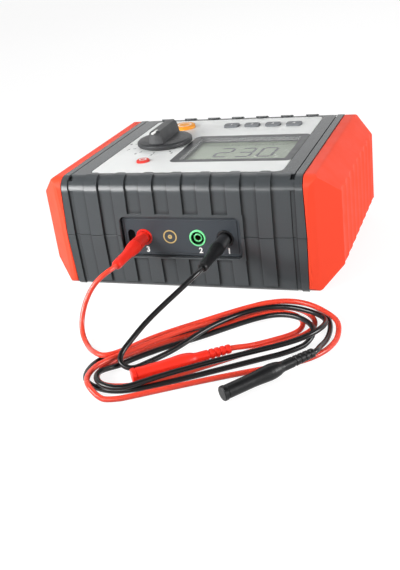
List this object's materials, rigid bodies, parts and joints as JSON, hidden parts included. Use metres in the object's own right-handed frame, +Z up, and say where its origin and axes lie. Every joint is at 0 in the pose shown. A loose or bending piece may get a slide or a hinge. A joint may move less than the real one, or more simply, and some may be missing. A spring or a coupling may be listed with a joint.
{
  "type": "electrical installation tester",
  "caption": "Ribbed bench and hand-held installation tester lying on its back, with end cheeks, a recessed terminal panel and plugged-in test leads.",
  "frame": {"origin": "centre of the underside's bounding box, at the level of the feet", "axes": "+X along the width from the left to the right cheek, -Y towards the terminal panel, +Z up out of the display face"},
  "size_m": [0.2165, 0.291, 0.0918],
  "materials": {
    "case_grey": "fine moulded grain",
    "cheek_red": "smooth satin",
    "panel_grey": "smooth satin",
    "lead_red": "smooth",
    "lead_black": "smooth",
    "socket_green": "smooth",
    "cord_red": "smooth silicone sheath",
    "cord_black": "smooth silicone sheath",
    "contact_brass": "bright turned",
    "gloss_black": "polished",
    "overlay_pale": "printed film",
    "clear_window": "polished",
    "lcd_grey": "flat",
    "board_green": "solder mask",
    "plated_steel": "zinc plated",
    "switch_blue": "moulded",
    "knob_black": "fine moulded grain",
    "mark_white": "inlaid",
    "key_grey": "soft touch",
    "key_red": "soft touch",
    "key_amber": "soft touch",
    "winding_brass": "wound and varnished",
    "can_aluminium": "sleeved can",
    "fuse_ceramic": "ceramic",
    "cell_steel": "plain jacket",
    "foot_rubber": "moulded"
  },
  "bodies": {
    "instrument": {"front_case": "case_grey", "rear_case": "case_grey", "left_cheek": "cheek_red", "right_cheek": "cheek_red", "cheek_screws": "plated_steel", "terminal_panel": "panel_grey", "red_socket": "lead_red", "green_socket": "socket_green", "black_socket": "lead_black", "contact_tubes": "contact_brass", "port_window": "gloss_black", "terminal_board": "board_green", "display_overlay": "overlay_pale", "display_window": "clear_window", "lcd_module": "lcd_grey", "main_board": "board_green", "board_screws": "plated_steel", "switch_body": "switch_blue", "tact_switches": "knob_black", "relays": "switch_blue", "transformer": "winding_brass", "capacitors": "can_aluminium", "buzzer": "knob_black", "fuse_link": "fuse_ceramic", "fuse_clips": "contact_brass", "battery_cells": "cell_steel", "battery_contacts": "plated_steel", "case_screws": "plated_steel", "feet": "foot_rubber", "red_plug": "lead_red", "red_plug_pin": "contact_brass", "red_cord": "cord_red", "red_connector": "lead_red", "black_plug": "lead_black", "black_plug_pin": "contact_brass", "black_cord": "cord_black", "black_connector": "lead_black"},
    "knob": {"selector_knob": "knob_black", "knob_shaft": "plated_steel", "knob_pointer": "mark_white"},
    "key_1": {"soft_key_1": "key_grey"},
    "key_2": {"soft_key_2": "key_grey"},
    "key_3": {"soft_key_3": "key_grey"},
    "key_4": {"soft_key_4": "key_grey"},
    "power": {"power_key": "key_red"},
    "start": {"start_button": "key_amber"},
    "cover": {"battery_cover": "case_grey", "cover_screws": "plated_steel"}
  },
  "joints": [
    {"name": "knob_turn", "type": "hinge", "parent": "instrument", "child": "knob", "pos_m": [-0.036, 0.002, 0.08], "axis": [0, 0, 1], "range_deg": [-150, 150]},
    {"name": "key_1_press", "type": "slide", "parent": "instrument", "child": "key_1", "axis": [0, 0, -1], "range_m": [0, 0.001], "stiffness_N_per_m": 1500, "springref_m": -0.0004},
    {"name": "key_2_press", "type": "slide", "parent": "instrument", "child": "key_2", "axis": [0, 0, -1], "range_m": [0, 0.001], "stiffness_N_per_m": 1500, "springref_m": -0.0004},
    {"name": "key_3_press", "type": "slide", "parent": "instrument", "child": "key_3", "axis": [0, 0, -1], "range_m": [0, 0.001], "stiffness_N_per_m": 1500, "springref_m": -0.0004},
    {"name": "key_4_press", "type": "slide", "parent": "instrument", "child": "key_4", "axis": [0, 0, -1], "range_m": [0, 0.001], "stiffness_N_per_m": 1500, "springref_m": -0.0004},
    {"name": "power_press", "type": "slide", "parent": "instrument", "child": "power", "axis": [0, 0, -1], "range_m": [0, 0.001], "stiffness_N_per_m": 1500, "springref_m": -0.0004},
    {"name": "start_press", "type": "slide", "parent": "instrument", "child": "start", "axis": [0, 0, -1], "range_m": [0, 0.0015], "stiffness_N_per_m": 1500, "springref_m": -0.0004},
    {"name": "cover_lift", "type": "slide", "parent": "instrument", "child": "cover", "axis": [0, 0, -1], "range_m": [0, 0.03]}
  ]
}
